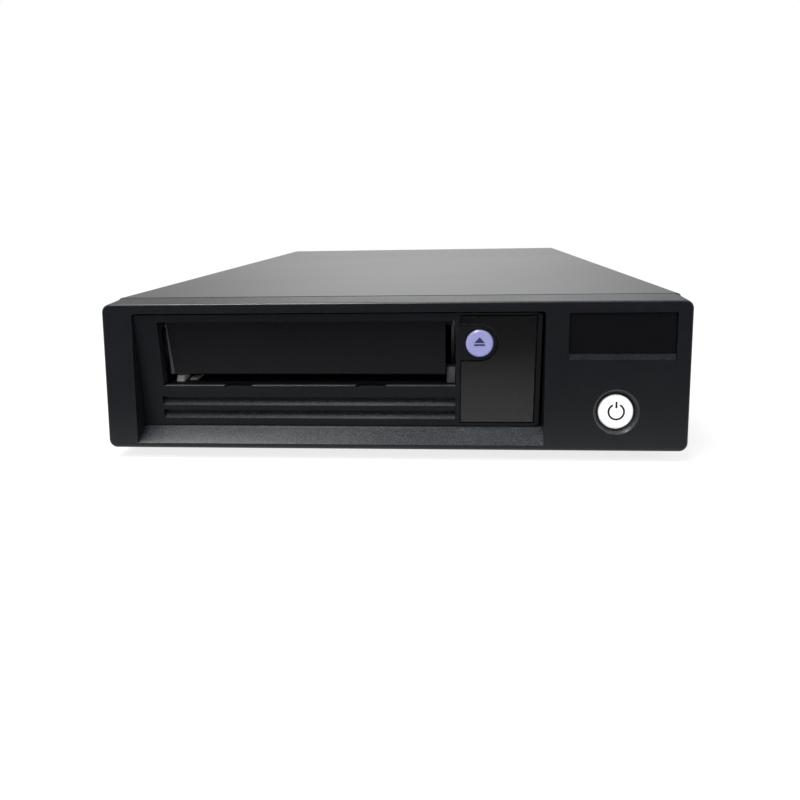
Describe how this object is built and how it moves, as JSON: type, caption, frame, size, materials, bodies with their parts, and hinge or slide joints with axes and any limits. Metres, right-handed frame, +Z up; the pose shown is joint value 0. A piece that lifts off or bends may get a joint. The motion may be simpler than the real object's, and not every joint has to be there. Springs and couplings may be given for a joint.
{
  "type": "external tape drive",
  "caption": "Low tabletop tape drive with a leaning front, a sprung inward-swinging cartridge door, status window, eject and power buttons, and a fan-cooled rear.",
  "frame": {"origin": "centre of the plan at the underside of the feet", "axes": "+X to the right seen from the front, the front faces -Y, +Z up"},
  "size_m": [0.2154, 0.3319, 0.058],
  "materials": {
    "fascia_plastic": "fine moulded grain, satin black",
    "badge_gloss": "smooth black gloss, bare",
    "cover_paint": "satin black powder coat",
    "pan_paint": "satin black powder coat",
    "button_white": "satin white",
    "spring_steel": "drawn spring wire",
    "bezel_plastic": "fine moulded grain, black",
    "smoky_acrylic": "smoky clear acrylic",
    "button_violet": "satin blue-violet",
    "board_green": "green solder mask",
    "door_plastic": "smooth satin black",
    "guide_grey": "satin grey",
    "cast_alloy": "cast and machined",
    "connector_black": "moulded black",
    "drive_steel": "zinc-plated sheet",
    "motor_steel": "turned steel",
    "gear_nylon": "natural nylon",
    "reel_plastic": "grey moulded",
    "head_ceramic": "lapped dark ceramic",
    "fan_black": "moulded black",
    "heatsink_alloy": "extruded",
    "foot_rubber": "matte rubber",
    "screw_steel": "black zinc",
    "lamp_resin": "clear resin",
    "port_steel": "nickel-plated",
    "capacitor_sleeve": "dark sleeve",
    "cable_black": "black jacket",
    "transformer_core": "ferrite",
    "roller_steel": "ground steel",
    "blade_brass": "nickel over brass"
  },
  "bodies": {
    "enclosure": {"arm_post": "motor_steel", "badge_plate": "badge_gloss", "base_pan": "pan_paint", "board_standoffs": "port_steel", "case_screws": "screw_steel", "chassis_base": "cast_alloy", "drive_bezel": "bezel_plastic", "drive_cover": "drive_steel", "drive_rails": "drive_steel", "eject_button_spring": "spring_steel", "entry_guide": "bezel_plastic", "entry_skids": "button_white", "fan_frame": "fan_black", "front_board": "board_green", "front_fascia": "fascia_plastic", "gear_post": "motor_steel", "head_motor": "motor_steel", "head_posts": "motor_steel", "inlet_blades": "blade_brass", "internal_cables": "cable_black", "loader_motor": "motor_steel", "loader_rails": "cast_alloy", "main_board": "board_green", "mains_inlet": "connector_black", "power_button_spring": "spring_steel", "power_switch_board": "board_green", "rear_connector": "connector_black", "reel_motor": "motor_steel", "roller_pins": "motor_steel", "rubber_feet": "foot_rubber", "sas_adapter_board": "board_green", "sas_ports": "port_steel", "slot_guide": "guide_grey", "status_lamps": "lamp_resin", "status_window": "smoky_acrylic", "supply_board": "board_green", "supply_capacitors": "capacitor_sleeve", "supply_heatsink": "heatsink_alloy", "supply_motor": "motor_steel", "supply_transformer": "transformer_core", "switch_board_screws": "screw_steel", "top_cover": "cover_paint"},
    "power_button": {"power_button": "button_white"},
    "eject_button": {"eject_button": "button_violet"},
    "door": {"cartridge_door": "door_plastic"},
    "carriage": {"loader_carriage": "drive_steel"},
    "tray": {"cartridge_tray": "drive_steel"},
    "gear": {"loader_gear": "gear_nylon"},
    "pinion": {"motor_pinion": "gear_nylon"},
    "clutch": {"supply_clutch": "gear_nylon"},
    "reel": {"takeup_reel": "reel_plastic"},
    "roller_1": {"guide_roller_1": "roller_steel"},
    "roller_2": {"guide_roller_2": "roller_steel"},
    "roller_3": {"guide_roller_3": "roller_steel"},
    "roller_4": {"guide_roller_4": "roller_steel"},
    "head": {"tape_head": "head_ceramic"},
    "screw": {"lead_screw": "motor_steel"},
    "threader": {"threader_arm": "drive_steel", "leader_block": "reel_plastic"},
    "rotor": {"fan_rotor": "fan_black"}
  },
  "joints": [
    {"name": "power_button_press", "type": "slide", "parent": "enclosure", "child": "power_button", "axis": [0, 0.9883, -0.1523], "range_m": [0, 0.0015], "stiffness_N_per_m": 250, "springref_m": -0.002, "deforming": ["power_button_spring"]},
    {"name": "eject_button_press", "type": "slide", "parent": "enclosure", "child": "eject_button", "axis": [0, 1, 0], "range_m": [0, 0.001], "stiffness_N_per_m": 250, "springref_m": -0.002, "deforming": ["eject_button_spring"]},
    {"name": "door_hinge", "type": "hinge", "parent": "enclosure", "child": "door", "pos_m": [-0.0323, -0.1527, 0.0502], "axis": [1, 0, 0], "range_deg": [0, 88], "stiffness_Nm_per_rad": 0.003, "springref_deg": -17.19},
    {"name": "carriage_slide", "type": "slide", "parent": "enclosure", "child": "carriage", "axis": [0, 1, 0], "range_m": [0, 0.018]},
    {"name": "tray_drop", "type": "slide", "parent": "carriage", "child": "tray", "axis": [0, 0, -1], "range_m": [0, 0.004]},
    {"name": "loader_gear_turn", "type": "hinge", "parent": "enclosure", "child": "gear", "pos_m": [0.035, -0.085, 0.031], "axis": [0, 0, 1], "range_deg": [-208, 0]},
    {"name": "motor_pinion_turn", "type": "hinge", "parent": "enclosure", "child": "pinion", "pos_m": [0.035, -0.0735, 0.033], "axis": [0, 0, 1], "range_deg": [0, 586]},
    {"name": "clutch_turn", "type": "hinge", "parent": "enclosure", "child": "clutch", "pos_m": [-0.031, -0.0805, 0.022], "axis": [0, 0, 1], "continuous": true},
    {"name": "reel_turn", "type": "hinge", "parent": "enclosure", "child": "reel", "pos_m": [-0.045, 0.015, 0.033], "axis": [0, 0, 1], "continuous": true},
    {"name": "roller_1_turn", "type": "hinge", "parent": "enclosure", "child": "roller_1", "pos_m": [0.032, -0.034, 0.033], "axis": [0, 0, 1], "continuous": true},
    {"name": "roller_2_turn", "type": "hinge", "parent": "enclosure", "child": "roller_2", "pos_m": [0.041, -0.014, 0.033], "axis": [0, 0, 1], "continuous": true},
    {"name": "roller_3_turn", "type": "hinge", "parent": "enclosure", "child": "roller_3", "pos_m": [0.038, 0.026, 0.033], "axis": [0, 0, 1], "continuous": true},
    {"name": "roller_4_turn", "type": "hinge", "parent": "enclosure", "child": "roller_4", "pos_m": [0.014, 0.04, 0.033], "axis": [0, 0, 1], "continuous": true},
    {"name": "head_lift", "type": "slide", "parent": "enclosure", "child": "head", "axis": [0, 0, 1], "range_m": [-0.003, 0.003]},
    {"name": "lead_screw_turn", "type": "hinge", "parent": "enclosure", "child": "screw", "pos_m": [0.043, 0.006, 0.034], "axis": [0, 0, 1], "range_deg": [-361, 361]},
    {"name": "threader_swing", "type": "hinge", "parent": "enclosure", "child": "threader", "pos_m": [0.01, 0.004, 0.044], "axis": [0, 0, 1], "range_deg": [0, 187]},
    {"name": "fan_turn", "type": "hinge", "parent": "enclosure", "child": "rotor", "pos_m": [0.075, 0.15, 0.031], "axis": [0, 1, 0], "continuous": true}
  ],
  "couplings": [
    {"joint": "loader_gear_turn", "follows": "carriage_slide", "rad_per_m": -200},
    {"joint": "motor_pinion_turn", "follows": "carriage_slide", "rad_per_m": 566.67},
    {"joint": "lead_screw_turn", "follows": "head_lift", "rad_per_m": 2094.4}
  ]
}
